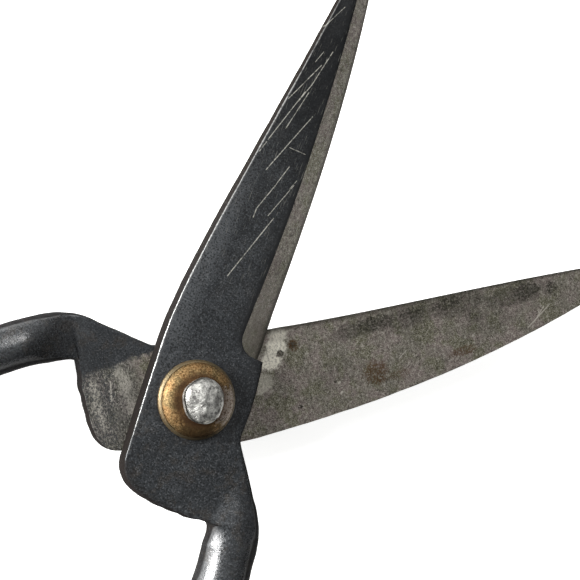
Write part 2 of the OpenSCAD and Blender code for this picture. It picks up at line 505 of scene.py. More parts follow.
def mesh_object(name, points, faces, values=None):
    """A mesh with a float attribute on its points for each entry of values."""
    me = bpy.data.meshes.new(name)
    me.from_pydata([tuple(p) for p in points], [], faces)
    for key, value in (values or {}).items():
        me.attributes.new(key, "FLOAT", "POINT").data.foreach_set("value", value.astype(np.float32))
    return new_object(name, me)


def loft_faces(n, m):
    """Faces of a closed loft through n rings of m points."""
    faces = [(i * m + j, i * m + (j + 1) % m, (i + 1) * m + (j + 1) % m, (i + 1) * m + j)
             for i in range(n - 1) for j in range(m)]
    faces.append(tuple(range(m - 1, -1, -1)))
    faces.append(tuple((n - 1) * m + j for j in range(m)))
    return faces


def cleaned(o):
    """Drops faces with no area and turns every face outwards."""
    bm = bmesh.new()
    bm.from_mesh(o.data)
    bmesh.ops.remove_doubles(bm, verts=bm.verts, dist=0.002)
    bmesh.ops.dissolve_degenerate(bm, edges=bm.edges, dist=0.0015)
    bmesh.ops.recalc_face_normals(bm, faces=bm.faces)
    bm.to_mesh(o.data)
    bm.free()


def roughen(o, seed, amounts):
    """Moves points along their normals by soft noise; amounts are (size, depth) in millimetres."""
    me = o.data
    uneven = [d.value for d in me.attributes["uneven"].data]
    normals = [Vector(n.vector) for n in me.vertex_normals]
    shift = Vector((seed * 7.1, seed * 3.7, seed * 1.3))
    for v, n, k in zip(me.vertices, normals, uneven):
        if k > 0:
            push = sum(depth * noise.noise(v.co / size + shift) for size, depth in amounts)
            v.co += n * push * k


def bored(o, radius):
    """Cuts the rivet's bore."""
    bpy.ops.mesh.primitive_cylinder_add(vertices=64, radius=radius, depth=40)
    cutter = bpy.context.active_object
    cut = o.modifiers.new("bore", "BOOLEAN")
    cut.operation = "DIFFERENCE"
    cut.solver = "EXACT"
    cut.object = cutter
    graph = bpy.context.evaluated_depsgraph_get()
    me = bpy.data.meshes.new_from_object(o.evaluated_get(graph))
    o.modifiers.clear()
    o.data = me
    bpy.data.objects.remove(cutter)


def settle(o, place, material, body, replaced, sharp):
    """Puts a piece where the frame has it, with its material, body and sharp edges, and hides the frame's
    part it replaces.
    """
    me = o.data
    drawn = me.attributes.new("drawn", "FLOAT_VECTOR", "POINT")
    drawn.data.foreach_set("vector", np.array([v.co for v in me.vertices], np.float32).ravel())
    me.transform(Matrix.Scale(MM, 4) @ place)
    me.update()
    bm = bmesh.new()
    bm.from_mesh(me)
    for e in bm.edges:
        e.smooth = len(e.link_faces) == 2 and e.calc_face_angle(0) < math.radians(sharp)
    for f in bm.faces:
        f.smooth = True
    bm.to_mesh(me)
    bm.free()
    me.materials.clear()
    me.materials.append(material)
    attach(o, body)
    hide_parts(replaced)


# ---- materials

class Nodes:
    """A node tree in the making: each call adds a node and returns it or its output."""

    def __init__(self, tree):
        self.tree = tree

    def put(self, socket, value):
        if isinstance(value, bpy.types.NodeSocket):
            self.tree.links.new(value, socket)
        else:
            socket.default_value = value

    def node(self, kind, values, **settings):
        n = self.tree.nodes.new("ShaderNode" + kind)
        for key, value in settings.items():
            setattr(n, key, value)
        for key, value in values.items():
            self.put(n.inputs[key], value)
        return n

    def math(self, op, a, b, clamp=False):
        return self.node("Math", {0: a, 1: b}, operation=op, use_clamp=clamp).outputs[0]

    def times(self, a, b):
        return self.math("MULTIPLY", a, b)

    def plus(self, a, b, clamp=False):
        return self.math("ADD", a, b, clamp)

    def minus(self, a, b):
        return self.math("SUBTRACT", a, b)

    def larger(self, a, b):
        return self.math("MAXIMUM", a, b)

    def ramp(self, value, low, high, start=0.0, end=1.0):
        values = {"Value": value, "From Min": low, "From Max": high, "To Min": start, "To Max": end}
        return self.node("MapRange", values, interpolation_type="SMOOTHSTEP").outputs[0]

    def mix(self, share, a, b):
        return self.node("Mix", {0: share, 6: a, 7: b}, data_type="RGBA").outputs[2]

    def blend(self, share, a, b):
        return self.node("Mix", {0: share, 2: a, 3: b}, data_type="FLOAT").outputs[0]

    def vector(self, op, a, b):
        return self.node("VectorMath", {0: a, 1: b}, operation=op).outputs[0]


def principled(material):
    material.use_nodes = True
    return next(n for n in material.node_tree.nodes if n.type == "BSDF_PRINCIPLED")


class Surface(Nodes):
    """A material in the making, drawn in its half's own millimetres."""

    def __init__(self, name):
        self.material = bpy.data.materials.new(name)
        self.shader = principled(self.material)
        super().__init__(self.material.node_tree)
        self.at = self.attribute("drawn", "Vector")
        values = {"Vector": self.at, "Scale": 1.1, "Detail": 5.0, "Roughness": 0.65}
        self.ragged = self.node("TexNoise", values).outputs["Color"]
        self.color = None

    def paint(self, share, color):
        """Lays a colour over what is painted so far."""
        self.color = self.mix(share, self.color, color)

    def attribute(self, name, output="Fac"):
        return self.node("Attribute", {}, attribute_name=name).outputs[output]

    def stretched(self, scale, turn=0.0, shift=(0, 0, 0)):
        turned_by = (0, 0, math.radians(turn))
        values = {"Vector": self.at, "Scale": scale, "Rotation": turned_by, "Location": shift}
        return self.node("Mapping", values).outputs[0]

    def shifted(self, *shift):
        return self.stretched((1, 1, 1), 0, shift)

    def noise(self, scale, detail=2.0, rough=0.5, at=None):
        values = {"Vector": at or self.at, "Scale": scale, "Detail": detail, "Roughness": rough}
        return self.node("TexNoise", values).outputs[0]

    def cells(self, scale, at=None):
        return self.node("TexVoronoi", {"Vector": at or self.at, "Scale": scale}).outputs["Distance"]

    def axis(self, name):
        return self.node("SeparateXYZ", {0: self.at}).outputs[name]

    def spot(self, x, y, rx, ry, strength=1.0):
        """Soft patch with a ragged border."""
        wander = 1.8 * min(rx, ry)
        moved = self.vector("ADD", self.at, self.vector("MULTIPLY", self.ragged, (wander, wander, 0)))
        level = self.vector("SUBTRACT", moved, (x + wander / 2, y + wander / 2, 0))
        unit = self.vector("MULTIPLY", level, (1 / rx, 1 / ry, 0))
        length = self.node("VectorMath", {0: unit}, operation="LENGTH").outputs["Value"]
        return self.ramp(length, 1.15, 0.6, 0.0, strength)

    def scratch(self, a, b, width):
        """Fine straight line from a to b on the face."""
        a, b = Vector((*a, 0)), Vector((*b, 0))
        along = b - a
        level = self.vector("MULTIPLY", self.at, (1, 1, 0))
        rel = self.vector("SUBTRACT", level, a)
        dot = self.node("VectorMath", {0: rel, 1: along / along.length_squared}, operation="DOT_PRODUCT")
        share = self.plus(dot.outputs["Value"], 0.0, clamp=True)
        foot = self.node("VectorMath", {0: along, "Scale": share}, operation="SCALE").outputs[0]
        gap = self.node("VectorMath", {0: rel, 1: foot}, operation="DISTANCE").outputs["Value"]
        return self.ramp(gap, width, width * 0.35)

    def spots(self, table):
        return functools.reduce(self.larger, [self.spot(*row) for row in table])

    def scratches(self, table):
        return functools.reduce(self.larger, [self.scratch(*row) for row in table])

    def bump(self, height, depth):
        values = {"Height": height, "Distance": depth * MM, "Strength": 1.0}
        return self.node("Bump", values).outputs[0]

    def finish(self, *values):
        """Gives the shader the colour painted and its roughness, normal, metal share and shine."""
        inputs = ("Base Color", "Roughness", "Normal", "Metallic", "Specular IOR Level")
        for key, value in zip(inputs, (self.color, *values)):
            self.put(self.shader.inputs[key], value)
        return self.material


def rgb(r, g, b):
    return (r, g, b, 1.0)


# Metal share of everything that isn't black skin
METAL = 0.85

OXIDE = rgb(0.015, 0.017, 0.019)
# Pale oxide: for its grain, and for the painted sheen near the spine
OXIDE_PALE_AND_SHEEN = rgb(0.100, 0.106, 0.112)
OXIDE_DARK = rgb(0.002, 0.0023, 0.0027)
OXIDE_BROWN = rgb(0.032, 0.025, 0.018)
# Dark brown for painted shade on the near wall and at grazing angles
WALL_SHADE = rgb(0.010, 0.008, 0.007)
BARE = rgb(0.36, 0.36, 0.35)
SCRATCHED = rgb(0.42, 0.41, 0.36)
STEEL = rgb(0.208, 0.192, 0.156)
STEEL_PALE = rgb(0.58, 0.55, 0.48)
STEEL_DARK = rgb(0.050, 0.045, 0.037)
STEEL_MAUVE = rgb(0.232, 0.192, 0.176)
STEEL_OLIVE = rgb(0.150, 0.146, 0.094)
STEEL_COOL = rgb(0.105, 0.107, 0.108)
RUST = rgb(0.085, 0.045, 0.018)
PATINA_DARK = rgb(0.032, 0.030, 0.023)
# Straw tone of rubbed steel, brightened as painted light
STRAW_AND_LIGHT = rgb(0.96, 0.92, 0.79)
BRASS = rgb(0.235, 0.133, 0.053)
BRASS_BROWN = rgb(0.135, 0.096, 0.042)
BRASS_PALE = rgb(0.38, 0.255, 0.120)
BRASS_RIM = rgb(0.135, 0.112, 0.070)
# Washer colours: a painted grey reflection, soot and painted shade, grime and painted shade
REFLECTION_GREY = rgb(0.42, 0.36, 0.31)
SOOT_AND_SHADE = rgb(0.055, 0.03, 0.012)
GRIME_AND_SHADE = rgb(0.07, 0.035, 0.016)
GROOVE = rgb(0.03, 0.018, 0.008)
RIVET = rgb(0.275, 0.272, 0.255)
RIVET_PALE = rgb(0.63, 0.625, 0.585)
RIVET_DARK = rgb(0.15, 0.145, 0.14)
RIVET_CREASE = rgb(0.13, 0.125, 0.12)
RIVET_PIT = rgb(0.12, 0.11, 0.10)

# Plain scratches on the front blade's outer face, as ends and width
SCRATCHES = [
    ((-4.6, 59.1), (-0.9, 67.8), 0.10),
    ((-2.6, 59.5), (-1.3, 63.5), 0.10),
    ((-1.3, 63.5), (0.2, 71.1), 0.10),
    ((-2.3, 67.8), (-1.5, 70.3), 0.08),
    ((-3.1, 75), (-0.8, 80.1), 0.08),
    ((-3.5, 74.9), (-3.1, 79), 0.08),
    ((-5.4, 50.3), (-2, 61.8), 0.11),
    ((-6.1, 47.6), (-5.5, 49.8), 0.10),
    ((-3, 53.6), (-1.3, 61.9), 0.10),
    ((-3.6, 44.9), (-1.5, 50.8), 0.12),
    ((-1.5, 50.8), (1.1, 57.9), 0.11),
    ((-1.2, 41.6), (0.4, 47.2), 0.11),
    ((2, 43.3), (2.8, 45.4), 0.08),
    ((-0.9, 50.6), (2.5, 50.7), 0.08),
    ((-2.6, 35.6), (-2.6, 37.4), 0.12),
    ((-2.6, 37.4), (-0.7, 43.2), 0.11),
    ((0, 37), (2.6, 44.4), 0.10),
    ((-3.1, 23.5), (1.2, 37), 0.12),
]

# Stains, rubbed patches with painted light, and painted shade on the back blade's inner face, as centre,
# half sizes and strength
RUST_SPOTS = [
    (4, 22.5, 1.2, 1.2, 1), (-5.7, 37.6, 2.5, 3, 0.9), (-7.4, 42, 1, 3, 0.45),
    (-6.8, 56.5, 1, 3.4, 0.75),
]
DARK_SPOTS = [
    (3.1, 19.6, 0.8, 0.9, 1), (4, 22.5, 0.7, 0.8, 0.8), (-7.8, 21, 0.5, 0.6, 1),
    (3.4, 40, 1.6, 4.2, 0.95), (3.2, 48, 1.3, 3, 0.8), (3.1, 55.5, 1.4, 3.6, 0.9),
    (0.8, 73, 1.9, 3.4, 0.9), (0.2, 78.5, 1.6, 1.5, 1), (-1, 60.5, 1.3, 2.4, 0.7),
    (-5.2, 29, 0.35, 0.35, 0.9),
]
# Rubbed patches near the pivot: wear, brightened as painted light where the front half shades them
WORN_AND_LIT_SPOTS = [
    (6.6, 20, 1.6, 2.2, 0.65), (4.2, 19, 2, 2.4, 1), (2.2, 17.4, 1.8, 2.4, 1),
    (-1.4, 14.8, 2.2, 2.4, 0.4),
]
# Painted shade, as centre, half sizes and strength
SHADED_SPOTS = [
    (3.4, 36, 1.9, 6.5, 0.9), (2.6, 47, 2.4, 7.5, 0.9), (2, 58, 2.2, 7.5, 0.9),
    (0.8, 70, 2.2, 7.5, 0.9), (4, -13.3, 2, 0.5, 1), (5.4, -14.7, 2.2, 0.5, 0.9),
    (1.4, -15.1, 2.4, 0.5, 0.9), (-4, 30, 3, 5, 0.3), (-1, -12.6, 1.6, 1.4, 0.6),
    (-3, 64, 2, 6, 0.35),
]
LOBE_STREAKS = [
    (8.4, -11.6, 1.6, 1.2, 0.8), (6, -11, 2.6, 1.4, 0.8), (2, -11, 2.6, 1, 0.6),
    (6.5, -17, 2.6, 1, 1), (3.2, -17.2, 2.4, 1, 1), (0.4, -16.9, 2, 0.8, 0.9),
]
# A painted reflection and a painted shadow on a washer, as centre and half sizes
REFLECTION_SPOT = (4.6, 3.6, 3.8, 3.8)
SHADE_SPOT = (4, -4.1, 3.8, 3.8)

# Plain scratches on the back blade's inner face, as ends and width
BACK_SCRATCHES = [
    ((-4.5, 43), (-3.4, 44.8), 0.12),
    ((-3.2, 77), (-6.2, 71.5), 0.16),
    ((-3, 76), (-5.6, 73), 0.12),
    ((-5.6, 29.6), (-5.5, 29.9), 0.30),
    ((-7.6, 29.6), (-7.4, 29.9), 0.28),
    ((3.6, -14.3), (7.2, -13.6), 0.20),
]


def ground_steel(s):
    """Paints old, speckled ground steel, and returns its roughness and height."""
    grain = s.noise(4, 3, 0.7)
    fine = s.noise(3.6, 2, 0.6, s.shifted(11, 5, 3))
    cloud = s.noise(0.18, 5, 0.65)
    hue = s.noise(0.22, 5, 0.65, s.shifted(31, 7, 0))
    blotch = s.noise(1.3, 5, 0.75, s.shifted(5, 41, 0))
    s.color = s.mix(s.ramp(cloud, 0.40, 0.58), STEEL, STEEL_MAUVE)
    s.paint(s.ramp(hue, 0.47, 0.60, 0, 0.9), STEEL_OLIVE)
    s.paint(s.ramp(grain, 0.48, 0.70, 0, 0.9), STEEL_PALE)
    s.paint(s.ramp(fine, 0.50, 0.32, 0, 0.8), STEEL_DARK)
    s.paint(s.ramp(blotch, 0.52, 0.66, 0, 0.6), STEEL_PALE)
    s.paint(s.ramp(blotch, 0.47, 0.34, 0, 0.6), PATINA_DARK)
    pits = s.ramp(s.cells(0.75), 0.13, 0.06)
    s.paint(s.times(pits, 0.7), PATINA_DARK)
    roughness = s.ramp(cloud, 0.3, 0.7, 0.42, 0.56)
    height = s.plus(s.times(grain, 0.5), s.times(fine, 0.35))
    return roughness, s.minus(height, pits)


def stained(s):
    """Paints the stains, the rubbed patches with their painted light, and the painted shade of the back
    blade's inner face.
    """
    rust = s.spots(RUST_SPOTS)
    dark = s.spots(DARK_SPOTS)
    worn = s.spots(WORN_AND_LIT_SPOTS)
    shaded = s.spots(SHADED_SPOTS)
    speck = s.noise(2.2, 4, 0.75)
    # Painted shade, thinned by the speckle
    s.paint(s.times(shaded, s.ramp(speck, 0.35, 0.65, 0.85, 0.25)), PATINA_DARK)
    s.paint(s.times(rust, s.ramp(speck, 0.42, 0.55, 0.2, 1)), RUST)
    s.paint(s.times(dark, s.ramp(speck, 0.42, 0.58, 1, 0.2)), PATINA_DARK)
    bare = s.minus(1, s.larger(rust, dark))
    # Rubbed patches, partly wear and partly painted light
    worn = s.times(s.times(worn, bare), s.ramp(speck, 0.36, 0.56, 0.35, 1))
    s.paint(worn, STRAW_AND_LIGHT)
    lobe_stained(s, speck)
    s.paint(s.times(s.scratches(BACK_SCRATCHES), 0.75), STEEL_PALE)


def lobe_stained(s, speck):
    """Paints the duller, pitted and streaked part of the lobe."""
    lobe = s.ramp(s.axis("Y"), -7, -10.5)
    s.paint(s.times(lobe, 0.5), STEEL_COOL)
    pitting = s.noise(2.6, 4, 0.8, s.stretched((0.7, 1.3, 1), 0, (9, 4, 0)))
    s.paint(s.times(lobe, s.ramp(pitting, 0.54, 0.63, 0, 0.8)), STEEL_PALE)
    s.paint(s.times(lobe, s.ramp(pitting, 0.49, 0.40, 0, 0.95)), PATINA_DARK)
    streaks = s.spots(LOBE_STREAKS)
    s.paint(s.times(streaks, s.ramp(speck, 0.40, 0.56, 0.1, 0.75)), STEEL_PALE)


def skin_color(s, grain, fine):
    """Paints the black skin before it wears: a painted sheen near the spine, and darker to the tip and
    bevel.
    """
    y = s.axis("Y")
    across = s.attribute("across")
    cloud = s.noise(0.22, 4, 0.55)
    # A painted sheen near the spine, with random mottling over the face
    reach = s.times(s.ramp(y, -8, 20), s.ramp(y, 62, 34))
    sheen_and_mottle = s.times(s.ramp(across, 0.36, 0), reach)
    sheen_and_mottle = s.plus(s.times(sheen_and_mottle, 0.40), s.ramp(cloud, 0.5, 0.75, 0, 0.18))
    s.color = s.mix(sheen_and_mottle, OXIDE, OXIDE_PALE_AND_SHEEN)
    brown = s.ramp(s.noise(0.4, 5, 0.65), 0.5, 0.62)
    s.paint(s.times(brown, s.ramp(y, 2, -12, 0.1, 0.45)), OXIDE_BROWN)
    s.paint(s.ramp(grain, 0.50, 0.68, 0, 0.66), OXIDE_PALE_AND_SHEEN)
    s.paint(s.ramp(fine, 0.52, 0.36, 0, 0.9), OXIDE_DARK)
    s.paint(s.ramp(y, 22, 72, 0, 0.8), OXIDE_DARK)
    chipped = s.times(s.ramp(s.cells(0.5, s.ragged), 0.10, 0.05), s.ramp(y, -6, -10, 0, 0.5))
    s.paint(chipped, STEEL_PALE)
    shade = s.plus(s.ramp(across, 0.72, 1, 0, 0.5), s.ramp(across, 0.94, 1, 0, 0.45))
    shade = s.times(s.times(shade, s.ramp(y, 4, 16)), s.ramp(s.axis("Z"), 0.4, 0.9))
    s.paint(shade, OXIDE_DARK)


def scratched(s):
    """Paints the scratches and finer hairlines of the front blade's outer face."""
    lines = s.scratches(SCRATCHES)
    patchy = s.ramp(s.noise(1.7, 4, 0.75), 0.36, 0.56, 0.2, 1)
    lines = s.times(s.times(lines, patchy), s.ramp(s.axis("Z"), 0.4, 0.9))
    hair = s.ramp(s.noise(1.6, 1, 0.4, s.stretched((6, 0.22, 1), 20)), 0.68, 0.74, 0, 0.3)
    hair = s.times(hair, s.ramp(s.axis("Y"), 14, 30))
    s.paint(s.times(s.larger(lines, hair), 0.75), SCRATCHED)


def arris_wear(s):
    """How far the arris is rubbed bare: unevenly, and less at the tip and on the lobe."""
    y = s.axis("Y")
    wear = s.times(s.attribute("wear"), s.ramp(s.noise(1.6, 5, 0.75), 0.36, 0.56, 0.12, 1))
    wear = s.times(wear, s.ramp(y, 80, 56, 0.3, 1))
    return s.times(wear, s.ramp(y, -14, 4, 0.4, 1))


def oxide(s, half):
    """Paints the black forged skin, and returns its roughness, metal share, shine and height."""
    rod = s.attribute("rod")
    grain = s.noise(3.4, 3, 0.7)
    fine = s.noise(3.2, 1.5, 0.6, s.shifted(3, 17, 5))
    wear = arris_wear(s)
    side = s.times(s.ramp(s.axis("Z"), 0.1, 0.35), s.attribute("side"))
    side = s.times(side, s.minus(1, rod))
    grazing = s.ramp(s.node("LayerWeight", {"Blend": 0.5}).outputs["Facing"], 0.30, 0.44)
    skin_color(s, grain, fine)
    # Painted shade on the near side wall and on the lobe's chamfer
    s.paint(s.times(side, 0.85), WALL_SHADE)
    if half is FRONT:
        scratched(s)
    s.paint(wear, BARE)
    # Painted shade at grazing angles, where the bright floor would show in reflection
    s.paint(s.times(grazing, 0.6), WALL_SHADE)
    rough = s.blend(rod, s.ramp(grain, 0.3, 0.7, 0.30, 0.46), s.ramp(grain, 0.35, 0.65, 0.23, 0.36))
    rough = s.blend(wear, s.plus(rough, s.times(side, 0.4)), 0.34)
    rough = s.plus(rough, s.times(grazing, 0.4), clamp=True)
    shine = s.blend(rod, s.ramp(s.axis("Y"), 20, 75, 0.45, 0.25), 1)
    shine = s.blend(s.attribute("wear"), shine, 0.08)
    shine = s.blend(s.larger(side, grazing), shine, 0.04)
    height = s.plus(s.times(grain, 0.7), s.times(fine, 0.3))
    dents = s.times(s.noise(1.3, 4, 0.7), s.times(rod, 2))
    return rough, wear, shine, s.plus(height, dents)


# The ground part of the inner face: how far it reaches from the spine, and its lower borders, as x and
# y of a point and slope
GROUND_X = 9.6
GROUND_BORDERS = [(10.1, -11.4, 0.745), (5.4, -13.7, 0.12)]


def ground_share(s):
    """How much of the inner face is ground bright: nearly all of the blade, little of the lobe's rim."""
    x = s.axis("X")
    y = s.axis("Y")
    ragged = s.ramp(s.noise(0.9, 6, 0.8), 0.3, 0.7, -0.9, 0.9)
    borders = [s.plus(s.times(s.minus(x, at), slope), level) for at, level, slope in GROUND_BORDERS]
    depth = s.plus(s.minus(y, s.larger(*borders)), ragged)
    worn = s.ramp(depth, -0.2, 0.4)
    speckle = s.ramp(s.noise(2, 4, 0.75), 0.44, 0.54, 0.1, 1)
    rim = s.times(s.ramp(s.minus(x, ragged), 11, 8.5), speckle)
    worn = s.larger(worn, rim)
    inside = s.ramp(s.plus(x, s.times(ragged, 0.6)), GROUND_X + 0.9, GROUND_X - 0.1)
    inside = s.larger(inside, s.ramp(y, 0, 6))
    plate = s.minus(1, s.attribute("rod"))
    flat = s.times(plate, s.ramp(s.axis("Z"), 0.07, 0.02))
    return s.times(s.times(worn, inside), flat)


def forging_material(half):
    """Black forged skin outside, ground steel on the inner face."""
    s = Surface(half["name"] + "_forged_iron")
    rough, wear, shine, height = oxide(s, half)
    skin = s.color
    steel_rough, steel_height = ground_steel(s)
    if half is BACK:
        stained(s)
    ground = ground_share(s)
    s.color = s.mix(ground, skin, s.color)
    metallic = s.larger(s.times(ground, METAL), wear)
    height = s.blend(ground, height, steel_height)
    return s.finish(s.blend(ground, rough, steel_rough), s.bump(height, 0.04), metallic, shine)


def edge_material(half):
    """Ground steel with strokes along the edge, and a dark lip."""
    s = Surface(half["name"] + "_edge_steel")
    rough, height = ground_steel(s)
    if half is BACK:
        stained(s)
    else:
        # Front bevel: darker above y 30, and painted light towards the heel
        s.paint(s.ramp(s.axis("Y"), 30, 14, 0.18, 0), STEEL_DARK)
        s.paint(s.ramp(s.axis("Y"), 30, 14, 0, 0.35), STEEL_PALE)
    lip = s.ramp(s.attribute("lip"), 0.72, 0.98)
    s.paint(s.times(lip, 0.75), PATINA_DARK)
    strokes = s.noise(1, 2, 0.6, s.stretched((9, 0.5, 9), -3))
    s.paint(s.ramp(strokes, 0.55, 0.75, 0, 0.35), STEEL_PALE)
    height = s.plus(height, s.times(strokes, 0.4))
    return s.finish(rough, s.bump(height, 0.03), METAL)


def brass_material(name):
    """Tarnished brass, sooty in places, with a painted grey reflection on one side and a painted shadow on
    another, and grime and painted shade round the rivet and in its groove.
    """
    s = Surface(name)
    cloud = s.noise(0.35, 4, 0.6)
    grain = s.noise(3.2, 3, 0.7)
    level = s.vector("MULTIPLY", s.at, (1, 1, 0))
    radius = s.node("VectorMath", {0: level}, operation="LENGTH").outputs["Value"]
    s.color = s.mix(s.ramp(cloud, 0.38, 0.62), BRASS, BRASS_BROWN)
    s.paint(s.ramp(grain, 0.5, 0.66, 0, 0.8), BRASS_PALE)
    # A painted grey reflection on one side of the washer
    reflection = s.times(s.spot(*REFLECTION_SPOT), s.ramp(grain, 0.3, 0.6, 0.5, 1))
    s.paint(reflection, REFLECTION_GREY)
    s.paint(s.ramp(grain, 0.50, 0.37, 0, 0.9), SOOT_AND_SHADE)
    # A painted shadow on one side of the washer
    bottom_shade = s.times(s.spot(*SHADE_SPOT), s.ramp(grain, 0.3, 0.6, 0.5, 0.8))
    s.paint(bottom_shade, SOOT_AND_SHADE)
    # Grime and painted shade round the rivet's head
    grime = s.times(s.ramp(radius, 5.6, 4.3), s.ramp(cloud, 0.2, 0.6, 0.5, 0.9))
    s.paint(grime, GRIME_AND_SHADE)
    s.paint(s.times(s.attribute("wear"), 0.75), BRASS_RIM)
    # Grime and painted shade in the groove inside the rim
    s.paint(s.times(s.attribute("grime"), 0.9), GROOVE)
    rough = s.blend(s.attribute("wear"), s.ramp(grain, 0.3, 0.7, 0.50, 0.64), 0.48)
    height = s.plus(grain, s.times(cloud, 0.8))
    return s.finish(rough, s.bump(height, 0.05), METAL)


def rivet_material():
    """Pale hammered iron with dark creases and pits."""
    s = Surface("hammered_rivet_iron")
    cloud = s.noise(0.7, 4, 0.65)
    grain = s.noise(3.6, 3, 0.7)
    pits = s.ramp(s.cells(1.3), 0.2, 0.06)
    s.color = s.mix(s.ramp(cloud, 0.35, 0.65), RIVET, RIVET_PALE)
    s.paint(s.ramp(grain, 0.50, 0.34, 0, 0.8), RIVET_DARK)
    creases = s.noise(1.1, 5, 0.7, s.shifted(7, 3, 0))
    s.paint(s.ramp(creases, 0.49, 0.40, 0, 0.85), RIVET_CREASE)
    s.paint(s.times(pits, 0.6), RIVET_PIT)
    height = s.minus(s.plus(grain, cloud), pits)
    return s.finish(s.ramp(grain, 0.3, 0.7, 0.38, 0.55), s.bump(height, 0.06), METAL)


# ---- pieces

# Soft noise of the forged skin, as (size, depth)
HAMMERING = [(9.0, 0.07), (3.5, 0.05), (1.4, 0.02)]


def across_share():
    """Share of the way over the outer face, for the points of a section: 1 on the far wall too."""
    across = np.zeros(N_RING)
    across[N_SIDE:N_SIDE + N_FACE] = np.linspace(0, 1, N_FACE)
    across[N_SIDE + N_FACE:2 * N_SIDE + N_FACE] = 1
    return across


def near_wall(n, n_blade):
    """How far each point of n sections is on the near wall, which fades over the lobe's chamfer."""
    side = np.zeros((n, N_RING))
    side[:, 1:N_SIDE - 4] = 1
    lobe_rings = slice(n_blade + N_SHOULDER // 2, n_blade + N_SHOULDER)
    side[lobe_rings, N_SIDE - 4:N_SIDE + 2] = (0.9, 0.85, 0.75, 0.6, 0.4, 0.2)
    return side


def forged_half(half, outline, place):
    rings = forging_rings(half, outline)
    points = swollen(half, rings)
    n = len(points)
    values = {
        "wear": rings.wear.ravel(),
        "uneven": rings.uneven.ravel(),
        "side": near_wall(n, len(blade_heights(outline))).ravel(),
        "across": np.tile(across_share(), n),
        "rod": np.repeat(np.clip(rings.along / ALONG[rod_lead()], 0, 1), N_RING),
    }
    name = half["name"]
    o = mesh_object(name + "_half_forged", points.reshape(-1, 3), loft_faces(n, N_RING), values)
    cleaned(o)
    roughen(o, half["seed"], HAMMERING)
    bored(o, BORE_R)
    settle(o, place, forging_material(half), half["body"], name + "_half", 30)


def edge_piece(half, outline, place):
    rings = edge_rings(outline)
    n, m = rings.shape[:2]
    lip = np.zeros(m)
    lip[:N_BEVEL] = np.linspace(0, 1, N_BEVEL)
    lip[N_BEVEL:2 * N_BEVEL] = np.linspace(1, 0, N_BEVEL)
    values = {"lip": np.tile(lip, n)}
    name = half["name"]
    o = mesh_object(name + "_edge_bevel", rings.reshape(-1, 3), loft_faces(n, m), values)
    cleaned(o)
    settle(o, place, edge_material(half), half["body"], name + "_edge_steel", 25)


def turned(name, profile, values, shape):
    """A ring of revolution about Z from a closed profile of (radius, height), bent by shape."""
    n = WASHER_AROUND
    m = len(profile)
    points, faces = [], []
    for i in range(n):
        a = 2 * math.pi * i / n
        j = (i + 1) % n
        points += [shape(r * math.cos(a), r * math.sin(a), z) for r, z in profile]
        faces += [(i * m + k, j * m + k, j * m + (k + 1) % m, i * m + (k + 1) % m) for k in range(m)]
    tiled = {key: np.tile(np.array(v, float), n) for key, v in values.items()}
    return mesh_object(name, points, faces, tiled)


WASHER_R = 7.4
WASHER_BORE_R = 3.02
WASHER_T = 1.1
WASHER_AROUND = 160
# Points of its rim, as distances in from the outside and heights
WASHER_RIM = [
    (0.25, 0), (0, 0.2), (0, 0.7), (0.12, 0.88), (0.34, 1.08), (0.5, 1.16), (0.56, 1.1), (0.66, 1.14),
]
# Its flat crown, its height, and the height at which its dome starts
CUP_R = 4.3
CUP_H = 2.8
DOME_Z = 1.05


def washer_profile():
    """Cupped washer on z = 0: bevelled rim, a fine groove inside it, and a domed crown."""
    rim = [(WASHER_R - inset, z) for inset, z in WASHER_RIM]
    dome = []
    for a in np.radians(np.linspace(78, 0, 16)):
        r = CUP_R + (WASHER_R - 0.5 - CUP_R) * math.sin(a)
        dome.append((r, DOME_Z + (CUP_H - DOME_Z) * math.cos(a)))
    r, inner_h = WASHER_BORE_R, CUP_H - WASHER_T
    bore = [(r + 0.1, CUP_H), (r, CUP_H - 0.1), (r, inner_h + 0.1), (r + 0.1, inner_h)]
    under = []
    for a in np.radians(np.linspace(0, 90, 10)):
        under.append((CUP_R + (WASHER_R - WASHER_T - CUP_R) * math.sin(a), inner_h * math.cos(a)))
    profile = rim + dome + bore + under
    wear = [0.2, 0.5, 0.8, 1, 1, 0.5] + [0] * (len(profile) - 6)
    # Weights for grime and painted shade in the groove inside the rim
    grime = [0] * 5 + [0.1, 1, 0.5] + [0] * (len(profile) - 8)
    return profile, {"wear": wear, "grime": grime}


def washer(side, place, seed):
    """Brass washer under a rivet head, a little dented."""
    def dented(x, y, z):
        lift = 0.05 * noise.noise(Vector((x / 2.2, y / 2.2, seed)))
        swell = 1 + 0.004 * noise.noise(Vector((x / 4, y / 4, seed + 3)))
        return x * swell, y * swell, z + lift * min(z, 1)

    node = side + "_washer"
    o = turned(node + "_cupped", *washer_profile(), dented)
    cleaned(o)
    settle(o, place, brass_material(node + "_brass_metal"), "lower_blade", node, 32)


HEAD_R = 4.25
HEAD_H = 2.2
RIVET_SHANK_R = 3.0
RIVET_AROUND = 96
RIVET_TURNS = [2 * math.pi * i / RIVET_AROUND for i in range(RIVET_AROUND)]
# The head sits a little off the rivet's axis
HEAD_LEAN = Vector((0.36, 0.40, 0))
# The head is hammered a little oval: narrowest along this direction in plan
NARROW = math.radians(48.8)
# Flats left by the hammer, as (slope in x, slope in y, height over the axis)
BLOWS = [(-0.16, -0.36, 2.12), (-0.03, 0.13, 2.10), (0.17, 0.04, 2.13), (-0.34, 0.07, 2.45),
         (0.26, -0.23, 2.48), (0.04, 0.04, 2.03), (0.30, 0.34, 2.75)]


